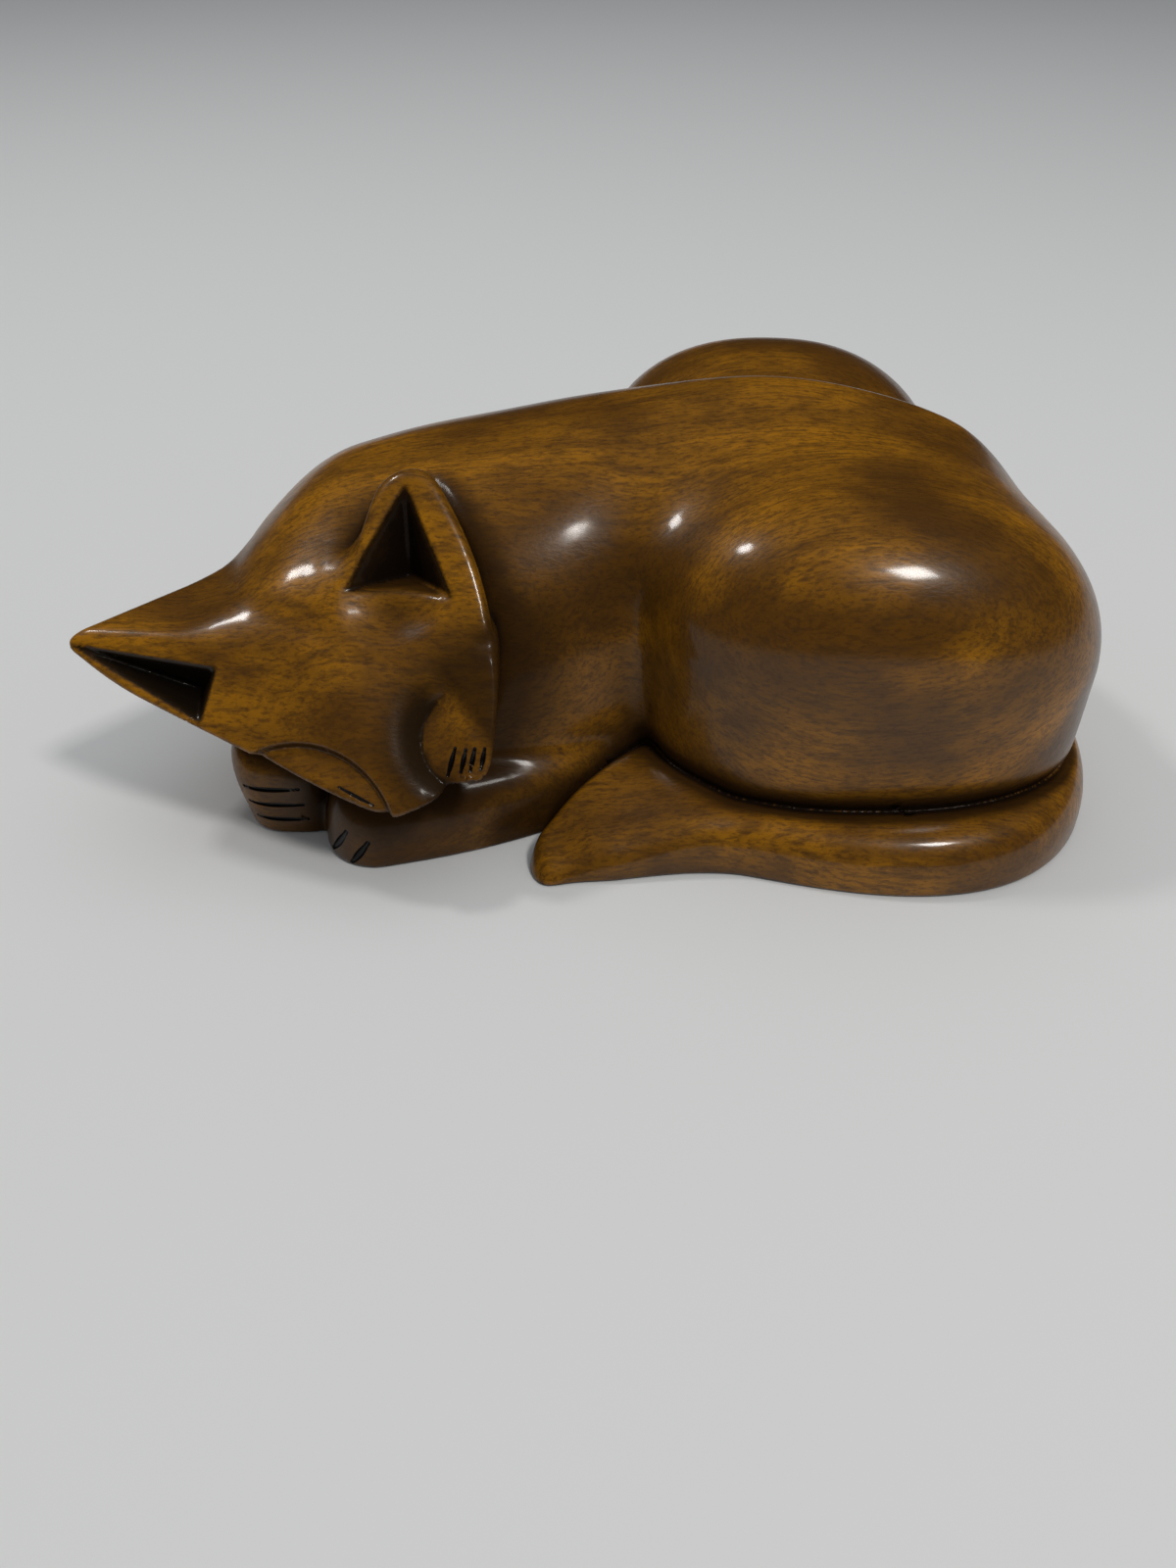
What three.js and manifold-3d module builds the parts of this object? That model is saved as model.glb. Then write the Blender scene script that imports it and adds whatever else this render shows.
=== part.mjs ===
// A sleeping cat carved from one block of wood: the body curled along X, the head at -X resting on the
// fore paws and turned to -Y, the tail laid along the near side. Millimetres, +Z up, standing on Z = 0.
import * as THREE from "three";
import { mergeVertices } from "three/addons/utils/BufferGeometryUtils.js";
import Module from "manifold-3d";

// Driving sizes
const LENGTH = 184; // overall, from the tip of the left ear to the rump
const EAR_DEPTH = 8.8; // depth of the hollow in the right ear
const EAR_DEPTH_LEFT = 6.2; // the left ear is thinner
const EYE_DEPTH = 2.4; // depth of the cut round the closed right eye
const EYE_DEPTH_LEFT = 1.6; // and round the left one, which is shallower
const KNIFE_WIDTH = 0.9; // the short cuts between the toes and on the cheek
const KNIFE_DEPTH = 1.1;
const GRID_STEP = 1.05; // spacing of the grid on which the form is sampled
const BODY_TRIANGLES = 7600;

// The form is drawn at a length of 184, and every place and length is a share of LENGTH.
const share = LENGTH / 184;
const at = (x, y, z) => new THREE.Vector3(x, y, z).multiplyScalar(share);

// Soft joins and cuts of two signed distances, rounded over the width k
function join(a, b, k) {
  const h = Math.max(k - Math.abs(a - b), 0) / k;
  return Math.min(a, b) - (h * h * k) / 4;
}
const cut = (a, b, k) => -join(-a, -b, k);

// A soft join with a narrow groove sunk along the line where the two surfaces meet
const crease = (a, b, k, depth, width) => join(a, b, k) + depth * Math.exp(-(((a - b) / width) ** 2));

function ramp(from, to, x) {
  const t = Math.min(Math.max((x - from) / (to - from), 0), 1);
  return t * t * (3 - 2 * t);
}

// A cubic spline through rows of values, natural at both ends
function spline(knots, rows) {
  const n = knots.length;
  const columns = rows[0].length;
  const bends = rows.map(() => new Array(columns).fill(0));
  for (let c = 0; c < columns; c++) {
    const u = new Array(n).fill(0);
    const g = new Array(n).fill(0);
    for (let i = 1; i < n - 1; i++) {
      const left = knots[i] - knots[i - 1];
      const both = knots[i + 1] - knots[i - 1];
      const right = knots[i + 1] - knots[i];
      const p = (left / both) * g[i - 1] + 2;
      g[i] = (left / both - 1) / p;
      const jump = (rows[i + 1][c] - rows[i][c]) / right - (rows[i][c] - rows[i - 1][c]) / left;
      u[i] = ((6 * jump) / both - (left / both) * u[i - 1]) / p;
    }
    for (let i = n - 2; i > 0; i--) bends[i][c] = g[i] * bends[i + 1][c] + u[i];
  }
  return (x, out) => {
    const t = Math.min(Math.max(x, knots[0]), knots[n - 1]);
    let i = 0;
    while (i < n - 2 && t > knots[i + 1]) i++;
    const h = knots[i + 1] - knots[i];
    const b = (t - knots[i]) / h;
    const a = 1 - b;
    const ka = ((a * a * a - a) * h * h) / 6;
    const kb = ((b * b * b - b) * h * h) / 6;
    for (let c = 0; c < columns; c++) {
      out[c] = a * rows[i][c] + b * rows[i + 1][c] + ka * bends[i][c] + kb * bends[i + 1][c];
    }
    return out;
  };
}

// A rounded box like body: a superellipsoid of half sizes a and the power p
function pebble(centre, a, p) {
  return (x, y, z) => {
    const qx = Math.abs(x - centre.x) / a.x;
    const qy = Math.abs(y - centre.y) / a.y;
    const qz = Math.abs(z - centre.z) / a.z;
    const r = (qx ** p + qy ** p + qz ** p) ** (1 / p) + 1e-9;
    const gx = (qx / r) ** (p - 1) / a.x;
    const gy = (qy / r) ** (p - 1) / a.y;
    const gz = (qz / r) ** (p - 1) / a.z;
    return (r - 1) / (Math.hypot(gx, gy, gz) + 1e-9);
  };
}

function plane(normal, through) {
  const n = normal.clone().normalize();
  const d = n.dot(through);
  return (x, y, z) => n.x * x + n.y * y + n.z * z - d;
}

// The trunk: at each station along X the place and height of the spine, the half widths to the near
// and the far side, and the roundness of both sides (2 is an ellipse, less is a roof).
const TRUNK_STATIONS = [
  { x: -69, spine: -9, top: 46, near: 33, far: 33, roundNear: 2.25, roundFar: 2.1 },
  { x: -60, spine: -7, top: 50.2, near: 35, far: 36, roundNear: 2.25, roundFar: 2.05 },
  { x: -50, spine: -6, top: 52.6, near: 37, far: 39, roundNear: 2.25, roundFar: 1.95 },
  { x: -42, spine: -4, top: 54.6, near: 40, far: 41, roundNear: 2.25, roundFar: 1.85 },
  { x: -33, spine: -1, top: 56.3, near: 43.5, far: 42, roundNear: 2.3, roundFar: 1.8 },
  { x: -19, spine: 2, top: 58.4, near: 45.5, far: 43, roundNear: 2.32, roundFar: 1.75 },
  { x: -5, spine: 4, top: 60.8, near: 44, far: 44, roundNear: 2.25, roundFar: 1.7 },
  { x: 12, spine: 5, top: 63.8, near: 38, far: 42, roundNear: 2, roundFar: 1.6 },
  { x: 32, spine: 6, top: 65.7, near: 36, far: 42, roundNear: 1.75, roundFar: 1.5 },
  { x: 48, spine: 5, top: 64.2, near: 37, far: 42, roundNear: 1.6, roundFar: 1.5 },
  { x: 64, spine: 3, top: 60, near: 38, far: 40, roundNear: 1.52, roundFar: 1.5 },
  { x: 76, spine: 0, top: 55.5, near: 36, far: 38, roundNear: 1.55, roundFar: 1.55 },
  { x: 84, spine: -2, top: 52.5, near: 35, far: 37, roundNear: 1.65, roundFar: 1.65 },
  { x: 93, spine: -4, top: 49, near: 34, far: 36, roundNear: 1.8, roundFar: 1.8 },
];
const TRUNK_ENDS = { first: -69.5 * share, last: 92.6 * share };
const TRUNK_ROUNDED = { first: 25 * share, last: 27 * share }; // length of the rounding at each end
const END_POWER = 2.2;
const TRUNK_FOOT = 8 * share; // the sides are upright below this height

const trunkAt = spline(
  TRUNK_STATIONS.map((s) => s.x * share),
  TRUNK_STATIONS.map((s) => [
    s.spine * share,
    s.top * share,
    s.near * share,
    s.far * share,
    s.roundNear,
    s.roundFar,
  ]),
);
const trunkRow = new Array(6);

function trunk(x, y, z) {
  const [spine, top, near, far, roundNear, roundFar] = trunkAt(x, trunkRow);
  const toFirst = (TRUNK_ENDS.first + TRUNK_ROUNDED.first - x) / TRUNK_ROUNDED.first;
  const toLast = (x - TRUNK_ENDS.last + TRUNK_ROUNDED.last) / TRUNK_ROUNDED.last;
  const q = Math.min(Math.max(toFirst, toLast, 0), 0.9999);
  const shrink = (1 - q ** END_POWER) ** (1 / END_POWER);
  const height = (top - TRUNK_FOOT) * shrink;
  const half = (y < spine ? near : far) * shrink;
  const p = y < spine ? roundNear : roundFar;
  const u = Math.abs(y - spine) / half;
  const v = Math.max(z - TRUNK_FOOT * shrink, 0) / height;
  const r = (u ** p + v ** p) ** (1 / p) + 1e-9;
  const g = Math.hypot((u / r) ** (p - 1) / half, (v / r) ** (p - 1) / height) + 1e-9;
  const side = Math.min((r - 1) / g, 30 * share);
  const past = Math.max(TRUNK_ENDS.first - x, x - TRUNK_ENDS.last);
  return past > 0 ? Math.hypot(Math.max(side, 0), past) : side;
}

// Thighs
const HIP_HEIGHT = 30 * share;
const nearThigh = pebble(at(50.6, -24, 30), at(41.3, 28.5, 30.5), 2.4);
const farThigh = pebble(at(38.3, 35, 30), at(37.7, 29, 31.3), 2.35);

function thigh(form, x, y, z) {
  const below = Math.max(HIP_HEIGHT - z, 0);
  const behind = (x - 50 * share + Math.hypot(x - 50 * share, 12 * share)) / 2;
  return form(x, y, z + 0.88 * below + 0.1 * behind * ramp(0, HIP_HEIGHT, z));
}

// The flat of the face: its lowest point between nose and chin, its normal, and the two directions
// in it, up from the nose to the crown and across to the right ear.
const NOSE = at(-28, -60.8, 20);
const FACE = new THREE.Vector3(-0.044, -0.747, 0.664).normalize();
const UP = new THREE.Vector3(-0.612, 0.545, 0.573).projectOnPlane(FACE).normalize();
const ACROSS = new THREE.Vector3().crossVectors(FACE, UP).negate();

// A place on the face: s across, t up, w out of it
function onFace(s, t, w = 0) {
  return NOSE.clone()
    .addScaledVector(ACROSS, s * share)
    .addScaledVector(UP, t * share)
    .addScaledVector(FACE, w * share);
}

// The side of the head along a line on the face, drawn counter clockwise, leaning in behind it
function headSide(s0, t0, s1, t1, lean) {
  const along = new THREE.Vector2(s1 - s0, t1 - t0).normalize();
  const normal = ACROSS.clone()
    .multiplyScalar(-along.y)
    .addScaledVector(UP, along.x)
    .addScaledVector(FACE, -lean);
  return plane(normal, onFace(s0, t0));
}

const face = plane(FACE, NOSE);
const across = plane(ACROSS, NOSE);
const up = plane(UP, NOSE);
const JAW = onFace(-8.6, 1.4); // on the line between the face and the under side of the jaw
const jawLine = onFace(-32.4, 47.6).sub(JAW);
const jawNormal = new THREE.Vector3(0.05, 1, -0.22).cross(jawLine);
const jawBelow = plane(jawNormal.z < 0 ? jawNormal : jawNormal.negate(), JAW);
const jawEdge = headSide(-8.4, 1.4, -21.6, 25.9, 0.1);
const earLow = headSide(-21.6, 25.9, -29.9, 43.9, 0.1);
const earPoint = headSide(-29.7, 43, -32.8, 54.5, 0.1);
const chin = headSide(12, -6, -8, -0.6, 0.9);
const crown = plane(new THREE.Vector3(0, -0.03, 1), at(-67, -42.6, 38.3));
const nape = plane(new THREE.Vector3(-0.72, 0.69, 0.15), at(-73, -25.9, 38));
const cheekHigh = headSide(34.2, 42, 31.2, 22, 0.12);
const cheekLow = headSide(31.2, 22, 16, -2.6, 0.25);
const cheekCorner = headSide(15.8, -1, 11, -5.4, 0.5);
const skull = pebble(at(-37, -30, 25.4), at(24.5, 24, 19.6), 2.3);
const earInside = headSide(7.5, 35.6, 27.3, 48.2, 0.2);
const earTip = headSide(27, 48.4, 34, 47.6, 0.2);
const earBack = plane(new THREE.Vector3(-0.1, 0.62, 0.78), onFace(31, 46, -3));
const earFoot = headSide(34, 6, 2, 30, 0);
const neck = pebble(at(-44, -14, 18), at(24, 24, 27), 2.3);

function cheek(x, y, z) {
  return cut(cut(cheekHigh(x, y, z), cheekLow(x, y, z), 5 * share), cheekCorner(x, y, z), 3 * share);
}

// Both closed eyes are cuts along a part of a circle on the face: its middle, and its radius
const LEFT_EYE = { s: -22, t: 5.5, radius: 17 };
const RIGHT_EYE = { s: 12.6, t: 2, radius: 8.9 };

// Height of the face over its flat: the bridge of the nose, less the cuts of the eyes. The left one is a
// step down to the lid, the right one a valley, and both lids rise again towards the cheek.
function faceHeight(s, t) {
  const bridge = 1.5 * Math.exp(-(((s + 1) / 9) ** 2)) * ramp(-6, 8, t) * (1 - ramp(20, 40, t));
  const q = LEFT_EYE.radius - Math.hypot(s - LEFT_EYE.s, t - LEFT_EYE.t);
  const left = ramp(-0.5, 0.5, q) * (1 - Math.min(Math.max(q / 7, 0), 1)) * ramp(-3, 1, t);
  const r = RIGHT_EYE.radius - Math.hypot(s - RIGHT_EYE.s, t - RIGHT_EYE.t);
  const valley = Math.min(Math.max(1 + r / 6, 0), 1) ** 2;
  const lid = 1 - Math.min(Math.max(r / 9, 0), 1);
  const right = valley * lid * ramp(-5, -1, t) * (1 - ramp(9, 17, s));
  return bridge * share - EYE_DEPTH_LEFT * left - EYE_DEPTH * right;
}

function head(x, y, z) {
  const s = across(x, y, z) / share;
  const t = up(x, y, z) / share;
  const front = face(x, y, z) - faceHeight(s, t);
  const below = jawBelow(x, y, z);
  const right = cheek(x, y, z);
  let d = cut(below, jawEdge(x, y, z), 1.5 * share);
  d = cut(d, earLow(x, y, z), 1.5 * share);
  d = cut(d, earPoint(x, y, z), share);
  d = cut(d, chin(x, y, z), 2 * share);
  d = cut(d, right, 2 * share);
  d = cut(d, crown(x, y, z), 1.5 * share);
  d = cut(d, nape(x, y, z), 2 * share);
  let dome = cut(skull(x, y, z), right, 2 * share);
  dome = cut(dome, below, 3 * share);
  d = join(d, dome, 6 * share);
  let ear = cut(earInside(x, y, z), right, 2 * share);
  ear = cut(ear, earTip(x, y, z), 2.5 * share);
  ear = cut(ear, earBack(x, y, z), 4 * share);
  ear = cut(ear, earFoot(x, y, z), 2 * share);
  d = join(d, ear, (2 + 6 * ramp(26, 14, s)) * share);
  const u = x / share;
  const brow = ramp(33, 42, z / share) * ramp(-72, -56, u) * ramp(-32, -46, u);
  return cut(front, d, (1.8 + 5 * brow) * share);
}

// A bar of rounded section lying on the ground along a curve of places, half widths and heights
function bar(rows, p) {
  const knots = [0];
  for (let i = 1; i < rows.length; i++) {
    knots.push(knots[i - 1] + Math.hypot(rows[i][0] - rows[i - 1][0], rows[i][1] - rows[i - 1][1]) * share);
  }
  const curve = spline(knots, rows.map((row) => row.map((v) => v * share)));
  const end = knots.at(-1);
  const samples = 48;
  const places = Array.from({ length: samples + 1 }, (_, i) => curve((end * i) / samples, new Array(4)));
  const row = new Array(4);
  const far = 12 * share;
  return (x, y, z) => {
    let best = Infinity;
    let nearest = 0;
    places.forEach((q, i) => {
      const d = (q[0] - x) ** 2 + (q[1] - y) ** 2;
      if (d < best) {
        best = d;
        nearest = i;
      }
    });
    // a golden section search between the neighbours of the nearest sample
    let low = (end * Math.max(nearest - 1, 0)) / samples;
    let high = (end * Math.min(nearest + 1, samples)) / samples;
    const reach = (t) => {
      curve(t, row);
      return (row[0] - x) ** 2 + (row[1] - y) ** 2;
    };
    if (best < far * far * 4) {
      for (let i = 0; i < 14; i++) {
        const third = (high - low) * 0.382;
        if (reach(low + third) < reach(high - third)) high -= third;
        else low += third;
      }
    }
    best = reach((low + high) / 2);
    const half = row[2];
    const height = row[3];
    const u = Math.sqrt(best) / half;
    const v = Math.max(z, 0) / height;
    const r = (u ** p + v ** p) ** (1 / p) + 1e-9;
    const g = Math.hypot((u / r) ** (p - 1) / half, (v / r) ** (p - 1) / height) + 1e-9;
    return (r - 1) / g;
  };
}

// Rows of x, y, half width, height
const tailBar = bar(
  [
    [66, 38, 9, 12],
    [79, 22, 9, 13],
    [86.3, 0, 8.8, 13],
    [87, -20, 9, 13],
    [83.5, -38, 9.5, 12],
    [73, -50, 9.5, 11.5],
    [58, -54, 9.2, 11],
    [38, -52, 8.7, 10.5],
    [20, -48.5, 8.7, 9.8],
    [5, -50, 8, 6],
  ],
  2.8,
);
const foreLeg = bar(
  [
    [4, -28, 11, 14],
    [-12, -38.5, 10, 14],
    [-26, -45, 9.5, 14],
    [-38, -48.5, 9.5, 14.5],
  ],
  2.6,
);
const otherPaw = pebble(at(-56, -36.5, 4), at(9.7, 12.5, 15), 3);

// The end of the tail: a wedge that leans on the body and comes to a blunt tip
const WEDGE = at(10, -57.5, 5);
const wedgeAcross = at(12, -40, 14).sub(WEDGE);
const wedgeAlong = at(-4, -58.5, 4).sub(WEDGE);
const wedgeTop = plane(new THREE.Vector3().crossVectors(wedgeAcross, wedgeAlong), WEDGE);
const wedgeFront = plane(new THREE.Vector3(0.23, -0.97, 0.1), at(5, -59.5, 0));
const wedgeBack = plane(new THREE.Vector3(-0.77, 0.63, 0.1), at(-3, -46.5, 4));
const wedgeTip = plane(new THREE.Vector3(-0.95, -0.3, 0.2), at(-10, -58, 1));
const wedgeRoot = plane(new THREE.Vector3(0.95, -0.1, 0.3), at(24, -46, 6));
const WEDGE_HEIGHT = 12.5 * share;

function tail(x, y, z) {
  let d = cut(wedgeFront(x, y, z), wedgeTop(x, y, z), 2.5 * share);
  d = cut(d, wedgeBack(x, y, z), 2 * share);
  d = cut(d, wedgeTip(x, y, z), 3 * share);
  d = cut(d, wedgeRoot(x, y, z), 6 * share);
  d = cut(d, z - WEDGE_HEIGHT, 4 * share);
  return join(tailBar(x, y, z), d, 6 * share);
}

// The body runs on a little below the ground, where it is sawn off flat
const SAW_ALLOWANCE = 2 * share;

const CREASE_DEPTH = 0.9 * share;
const CREASE_WIDTH = 1.7 * share;

function cat(x, y, z) {
  const u = x / share;
  const v = z / share;
  const top = ramp(34, 50, v);
  let d = trunk(x, y, z);
  const groin = 4 + 4 * ramp(14, 36, v) + 8 * top * (1 - ramp(60, 80, u));
  d = join(d, thigh(nearThigh, x, y, z), groin * share);
  d = join(d, thigh(farThigh, x, y, z), 5 * share);
  let nape = cut(neck(x, y, z), face(x, y, z) + 4 * share, 6 * share);
  nape = cut(nape, jawBelow(x, y, z), 3 * share);
  d = join(d, nape, 8 * share);
  const crownJoin = ramp(34, 44, v) * ramp(-34, -46, u);
  const cheekCrease = CREASE_DEPTH * (1 - crownJoin);
  if (u < 12) d = crease(d, head(x, y, z), (1.5 + 9 * crownJoin) * share, cheekCrease, CREASE_WIDTH);
  if (u < 20 && v < 26) d = join(d, foreLeg(x, y, z), 3 * share);
  d = join(d, otherPaw(x + 0.22 * (z - 12 * share), y, z), 2 * share);
  if (u > -20 && v < 26) d = crease(d, tail(x, y, z), 1.5 * share, CREASE_DEPTH, CREASE_WIDTH);
  return Math.max(d, -SAW_ALLOWANCE - z);
}

// The value of the form at a point, and its slope there
const SLOPE_STEP = 0.05;
function slope(p, out) {
  const h = SLOPE_STEP;
  const here = cat(p.x, p.y, p.z);
  out.set(cat(p.x + h, p.y, p.z) - here, cat(p.x, p.y + h, p.z) - here, cat(p.x, p.y, p.z + h) - here);
  out.divideScalar(h);
  return here;
}

// Where two parts of the form would touch only along an edge of the grid, fills the node between them
function fillPinches(value, strides) {
  const pairs = [[0, 1], [0, 2], [1, 2]];
  const last = value.length - strides[1] - strides[2] - 1;
  for (let found = true; found; ) {
    found = false;
    for (let i = 0; i < last; i++) {
      for (const [p, q] of pairs) {
        const [a, b, c, d] = [i, i + strides[p], i + strides[q], i + strides[p] + strides[q]];
        const diagonal = value[a] < 0;
        if (value[d] < 0 !== diagonal || value[b] < 0 === diagonal || value[c] < 0 === diagonal) continue;
        const outside = diagonal ? [b, c] : [a, d];
        const nearer = value[outside[0]] < value[outside[1]] ? outside[0] : outside[1];
        value[nearer] = -1e-3;
        found = true;
      }
    }
  }
}

// The grid is worked out in full only in blocks near the surface
const BLOCK = 3;
const BLOCK_REACH = 3.6;

// Surface nets: one vertex in each grid cell that the surface crosses, one quad for each crossed edge
function surface(low, high, step) {
  const n = high.clone().sub(low).divideScalar(step).ceil().addScalar(1);
  const value = new Float32Array(n.x * n.y * n.z);
  const index = (i, j, k) => (k * n.y + j) * n.x + i;
  const form = (i, j, k) => cat(low.x + i * step, low.y + j * step, low.z + k * step);
  for (let k = 0; k < n.z; k += BLOCK) {
    for (let j = 0; j < n.y; j += BLOCK) {
      for (let i = 0; i < n.x; i += BLOCK) {
        const half = (BLOCK - 1) / 2;
        const middle = form(i + half, j + half, k + half);
        const near = Math.abs(middle) < BLOCK_REACH * step;
        for (let c = k; c < Math.min(k + BLOCK, n.z); c++) {
          for (let b = j; b < Math.min(j + BLOCK, n.y); b++) {
            for (let a = i; a < Math.min(i + BLOCK, n.x); a++) {
              value[index(a, b, c)] = near ? form(a, b, c) : middle;
            }
          }
        }
      }
    }
  }
  fillPinches(value, [1, n.x, n.x * n.y]);
  const vertexOf = new Map();
  const points = [];
  const corners = [0, 1, 2, 3, 4, 5, 6, 7].map((c) => [c & 1, (c >> 1) & 1, c >> 2]);
  const edges = [];
  for (let c = 0; c < 8; c++) {
    for (const bit of [1, 2, 4]) if (!(c & bit)) edges.push([c, c | bit]);
  }
  for (let k = 0; k < n.z - 1; k++) {
    for (let j = 0; j < n.y - 1; j++) {
      for (let i = 0; i < n.x - 1; i++) {
        const v = corners.map(([a, b, c]) => value[index(i + a, j + b, k + c)]);
        const inside = v.filter((q) => q < 0).length;
        if (inside === 0 || inside === 8) continue;
        const sum = new THREE.Vector3();
        let count = 0;
        for (const [a, b] of edges) {
          if (v[a] < 0 === v[b] < 0) continue;
          const t = v[a] / (v[a] - v[b]);
          const [p, q] = [corners[a], corners[b]];
          sum.x += p[0] + t * (q[0] - p[0]);
          sum.y += p[1] + t * (q[1] - p[1]);
          sum.z += p[2] + t * (q[2] - p[2]);
          count++;
        }
        sum.divideScalar(count);
        vertexOf.set(index(i, j, k), points.length);
        points.push(new THREE.Vector3(i, j, k).add(sum).multiplyScalar(step).add(low));
      }
    }
  }
  const g = new THREE.Vector3();
  for (const p of points) {
    for (let i = 0; i < 2; i++) {
      const move = -slope(p, g) / Math.max(g.lengthSq(), 0.2);
      g.multiplyScalar(move).clampLength(0, step * 0.5);
      p.add(g);
    }
  }
  const triangles = [];
  const quad = (a, b, c, d, flip) => {
    const q = [a, b, c, d].map((cell) => vertexOf.get(cell));
    if (flip) q.reverse();
    triangles.push([q[0], q[1], q[2]], [q[0], q[2], q[3]]);
  };
  for (let k = 1; k < n.z - 1; k++) {
    for (let j = 1; j < n.y - 1; j++) {
      for (let i = 1; i < n.x - 1; i++) {
        const here = value[index(i, j, k)] < 0;
        if (here !== value[index(i + 1, j, k)] < 0) {
          const cells = [index(i, j - 1, k - 1), index(i, j, k - 1), index(i, j, k), index(i, j - 1, k)];
          quad(...cells, !here);
        }
        if (here !== value[index(i, j + 1, k)] < 0) {
          const cells = [index(i - 1, j, k - 1), index(i - 1, j, k), index(i, j, k), index(i, j, k - 1)];
          quad(...cells, !here);
        }
        if (here !== value[index(i, j, k + 1)] < 0) {
          const cells = [index(i - 1, j - 1, k), index(i, j - 1, k), index(i, j, k), index(i - 1, j, k)];
          quad(...cells, !here);
        }
      }
    }
  }
  return { points, triangles };
}

// Quadric edge collapse: takes away the vertices that the form needs least
function simplify({ points, triangles }, wanted) {
  const faces = triangles.map((t) => t.slice());
  const alive = new Uint8Array(faces.length).fill(1);
  const around = points.map(() => new Set());
  faces.forEach((f, i) => f.forEach((v) => around[v].add(i)));
  const quadric = points.map(() => new Float64Array(10));
  const ab = new THREE.Vector3();
  const ac = new THREE.Vector3();
  const normalOf = (a, b, c) => new THREE.Vector3().crossVectors(ab.subVectors(b, a), ac.subVectors(c, a));
  faces.forEach((f) => {
    const n = normalOf(...f.map((v) => points[v]));
    const area = n.length() / 2;
    n.normalize();
    const d = -n.dot(points[f[0]]);
    const row = [n.x, n.y, n.z, d];
    const e = row.flatMap((u, i) => row.slice(i).map((v) => u * v));
    f.forEach((v) => e.forEach((q, i) => (quadric[v][i] += q * area)));
  });
  const error = (q, p) =>
    q[0] * p.x * p.x + 2 * q[1] * p.x * p.y + 2 * q[2] * p.x * p.z + 2 * q[3] * p.x +
    q[4] * p.y * p.y + 2 * q[5] * p.y * p.z + 2 * q[6] * p.y + q[7] * p.z * p.z + 2 * q[8] * p.z + q[9];
  const version = new Uint32Array(points.length);
  const heap = [];
  const less = (a, b) => heap[a].cost < heap[b].cost;
  const swap = (a, b) => ([heap[a], heap[b]] = [heap[b], heap[a]]);
  const push = (item) => {
    heap.push(item);
    let i = heap.length - 1;
    while (i > 0 && less(i, (i - 1) >> 1)) {
      swap(i, (i - 1) >> 1);
      i = (i - 1) >> 1;
    }
  };
  const pop = () => {
    const top = heap[0];
    const last = heap.pop();
    if (heap.length) {
      heap[0] = last;
      let i = 0;
      for (;;) {
        let m = i;
        if (2 * i + 1 < heap.length && less(2 * i + 1, m)) m = 2 * i + 1;
        if (2 * i + 2 < heap.length && less(2 * i + 2, m)) m = 2 * i + 2;
        if (m === i) break;
        swap(i, m);
        i = m;
      }
    }
    return top;
  };
  const matrix = new THREE.Matrix3();
  const consider = (a, b) => {
    const q = quadric[a].map((v, i) => v + quadric[b][i]);
    matrix.set(q[0], q[1], q[2], q[1], q[4], q[5], q[2], q[5], q[7]);
    const middle = points[a].clone().add(points[b]).multiplyScalar(0.5);
    const size = points[a].distanceTo(points[b]);
    let place = middle;
    if (Math.abs(matrix.determinant()) > 1e-4 * (q[0] + q[4] + q[7]) ** 3) {
      const solved = new THREE.Vector3(-q[3], -q[6], -q[8]).applyMatrix3(matrix.invert());
      if (solved.distanceTo(middle) < size) place = solved;
    }
    const cost = Math.max(error(q, place), 0) + 1e-5 * size * size;
    push({ cost, a, b, place, stamp: version[a] + version[b] });
  };
  const neighbours = (v) => {
    const set = new Set();
    around[v].forEach((f) => faces[f].forEach((w) => w !== v && set.add(w)));
    return set;
  };
  points.forEach((_, v) => neighbours(v).forEach((w) => w > v && consider(v, w)));
  const gone = new Uint8Array(points.length);
  const turns = (v, other, place) => {
    for (const f of around[v]) {
      if (faces[f].includes(other)) continue;
      const before = normalOf(...faces[f].map((w) => points[w]));
      const after = normalOf(...faces[f].map((w) => (w === v ? place : points[w])));
      if (before.dot(after) < 0.3 * before.length() * after.length()) return true;
      if (after.length() < 1e-3) return true;
    }
    return false;
  };
  let left = faces.length;
  while (left > wanted && heap.length) {
    const { a, b, place, stamp } = pop();
    if (gone[a] || gone[b] || stamp !== version[a] + version[b]) continue;
    const na = neighbours(a);
    const shared = [...neighbours(b)].filter((v) => na.has(v));
    if (!na.has(b) || shared.length !== 2) continue;
    if (turns(a, b, place) || turns(b, a, place)) continue;
    points[a].copy(place);
    quadric[a] = quadric[a].map((v, i) => v + quadric[b][i]);
    gone[b] = 1;
    for (const f of around[b]) {
      if (faces[f].includes(a)) {
        alive[f] = 0;
        faces[f].forEach((v) => v !== b && around[v].delete(f));
        left--;
      } else {
        faces[f][faces[f].indexOf(b)] = a;
        around[a].add(f);
      }
    }
    version[a]++;
    neighbours(a).forEach((v) => {
      version[v]++;
    });
    const ring = new Set([a, ...neighbours(a)]);
    ring.forEach((v) => neighbours(v).forEach((w) => (!ring.has(w) || w > v) && consider(v, w)));
  }
  return { points, triangles: faces.filter((_, i) => alive[i]) };
}

// Solids for joins and cuts
const wasm = await Module();
wasm.setup();

function solid(points, triangles) {
  return new wasm.Manifold(
    new wasm.Mesh({
      numProp: 3,
      vertProperties: new Float32Array(points.flatMap((p) => p.toArray())),
      triVerts: new Uint32Array(triangles.flat()),
    }),
  );
}

function solidOf(geometry) {
  const bare = geometry.clone();
  bare.deleteAttribute("normal");
  bare.deleteAttribute("uv");
  const merged = mergeVertices(bare, 1e-4);
  return new wasm.Manifold(
    new wasm.Mesh({
      numProp: 3,
      vertProperties: new Float32Array(merged.attributes.position.array),
      triVerts: new Uint32Array(merged.index.array),
    }),
  );
}

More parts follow.
